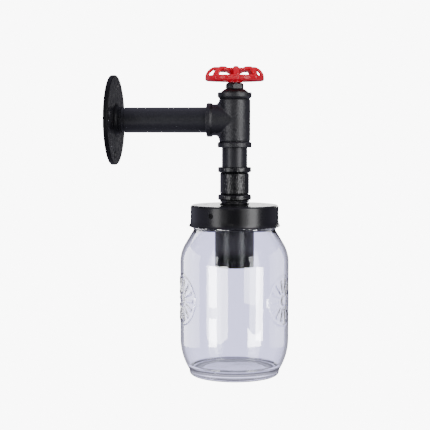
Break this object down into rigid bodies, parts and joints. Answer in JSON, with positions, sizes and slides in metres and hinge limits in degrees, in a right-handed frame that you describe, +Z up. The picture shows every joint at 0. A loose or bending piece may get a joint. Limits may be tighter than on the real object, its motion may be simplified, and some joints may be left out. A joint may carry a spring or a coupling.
{
  "type": "wall light",
  "caption": "Wall light made of black pipe fittings, with a red valve handwheel on top and a clear glass jar hanging from a black lid, held by set screws.",
  "frame": {"origin": "centre of the wall flange's back face, on the arm's axis", "axes": "+X out of the wall along the arm, +Z up along the drop, +Y to the left of someone who faces away from the wall"},
  "size_m": [0.1782, 0.1084, 0.3073],
  "materials": {
    "cast_black": "sand-cast surface under satin black paint",
    "satin_black": "smooth satin black paint on steel",
    "wheel_red": "glossy red paint on a casting",
    "lid_black": "semi-gloss black paint on pressed sheet",
    "zinc": "zinc-plated steel",
    "brass": "plain brass",
    "porcelain": "unglazed white porcelain",
    "clear_glass": "clear pressed glass, thick at the base",
    "block_white": "white moulded nylon",
    "lead_brown": "brown insulation",
    "lead_blue": "blue insulation",
    "lead_green": "green insulation with a yellow stripe"
  },
  "bodies": {
    "fixture": {"wall_flange": "cast_black", "tee": "cast_black", "bonnet": "cast_black", "gland_nut": "cast_black", "coupling": "cast_black", "hex_bushing": "cast_black", "arm_pipe": "satin_black", "drop_nipple": "satin_black", "lid_washer": "satin_black", "lamp_cup": "satin_black", "jar_lid": "lid_black", "threaded_tube": "zinc", "screw_inserts": "zinc", "tube_nut": "zinc", "socket_strap": "zinc", "strap_screws": "zinc", "terminal_screws": "zinc", "earth_tag": "zinc", "block_screws": "zinc", "screw_shell": "brass", "centre_contact": "brass", "live_terminal": "brass", "neutral_terminal": "brass", "block_sleeves": "brass", "socket_body": "porcelain", "terminal_block": "block_white", "live_lead": "lead_brown", "neutral_lead": "lead_blue", "earth_lead": "lead_green"},
    "wheel": {"stem": "zinc", "handwheel": "wheel_red", "wheel_washer": "zinc", "wheel_nut": "zinc"},
    "jar": {"jar_neck": "clear_glass", "jar": "clear_glass"},
    "screw_1": {"jar_screw_1": "lid_black"},
    "screw_2": {"jar_screw_2": "lid_black"},
    "screw_3": {"jar_screw_3": "lid_black"}
  },
  "joints": [
    {"name": "wheel_turn", "type": "hinge", "parent": "fixture", "child": "wheel", "pos_m": [0.124, 0, 0.04], "axis": [0, 0, 1], "continuous": true},
    {"name": "jar_drop", "type": "slide", "parent": "fixture", "child": "jar", "axis": [0, 0, -1], "range_m": [0, 0.08]},
    {"name": "screw_out_1", "type": "slide", "parent": "fixture", "child": "screw_1", "axis": [-0.4384, -0.8988, 0], "range_m": [0, 0.003]},
    {"name": "screw_out_2", "type": "slide", "parent": "fixture", "child": "screw_2", "axis": [0.9976, 0.0698, 0], "range_m": [0, 0.003]},
    {"name": "screw_out_3", "type": "slide", "parent": "fixture", "child": "screw_3", "axis": [-0.5592, 0.829, 0], "range_m": [0, 0.003]}
  ]
}
